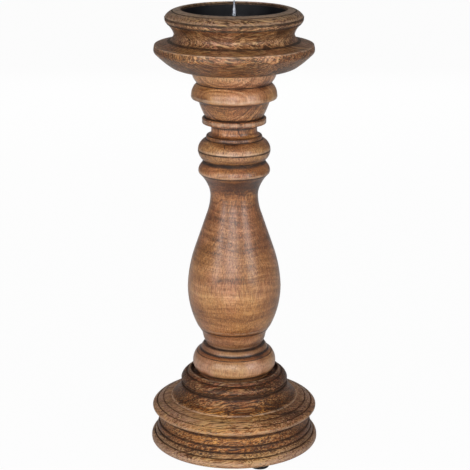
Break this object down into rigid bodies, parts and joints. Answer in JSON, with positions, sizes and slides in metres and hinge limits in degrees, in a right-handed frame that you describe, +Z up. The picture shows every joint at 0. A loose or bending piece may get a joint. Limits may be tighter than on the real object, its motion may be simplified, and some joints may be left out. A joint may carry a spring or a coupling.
{
  "type": "pricket candle stand",
  "caption": "Turned wooden candle stand with a stepped round base, baluster stem and cup, a black steel drip pan and a steel spike for a pillar candle.",
  "frame": {"origin": "on the floor, on the turned axis, under the feet", "axes": "+Z up along the turned axis; -Y towards the viewer of the picture; +X to that viewer's right"},
  "size_m": [0.1376, 0.1376, 0.3684],
  "materials": {
    "base_wood": "stained, satin wax",
    "stem_wood": "stained, satin wax",
    "cup_wood": "stained, satin wax",
    "pan_black": "black, satin powder coat",
    "steel": "satin",
    "rubber": "matt"
  },
  "bodies": {
    "root": {"base_plinth": "base_wood", "base_step": "base_wood", "stem": "stem_wood", "cup": "cup_wood", "pan": "pan_black", "pricket": "steel", "dowel_screw_cup": "steel", "dowel_screw_base": "steel", "base_screw_1": "steel", "base_screw_2": "steel", "base_screw_3": "steel", "foot_1": "rubber", "foot_washer_1": "steel", "foot_screw_1": "steel", "foot_2": "rubber", "foot_washer_2": "steel", "foot_screw_2": "steel", "foot_3": "rubber", "foot_washer_3": "steel", "foot_screw_3": "steel", "foot_4": "rubber", "foot_washer_4": "steel", "foot_screw_4": "steel"}
  },
  "joints": []
}
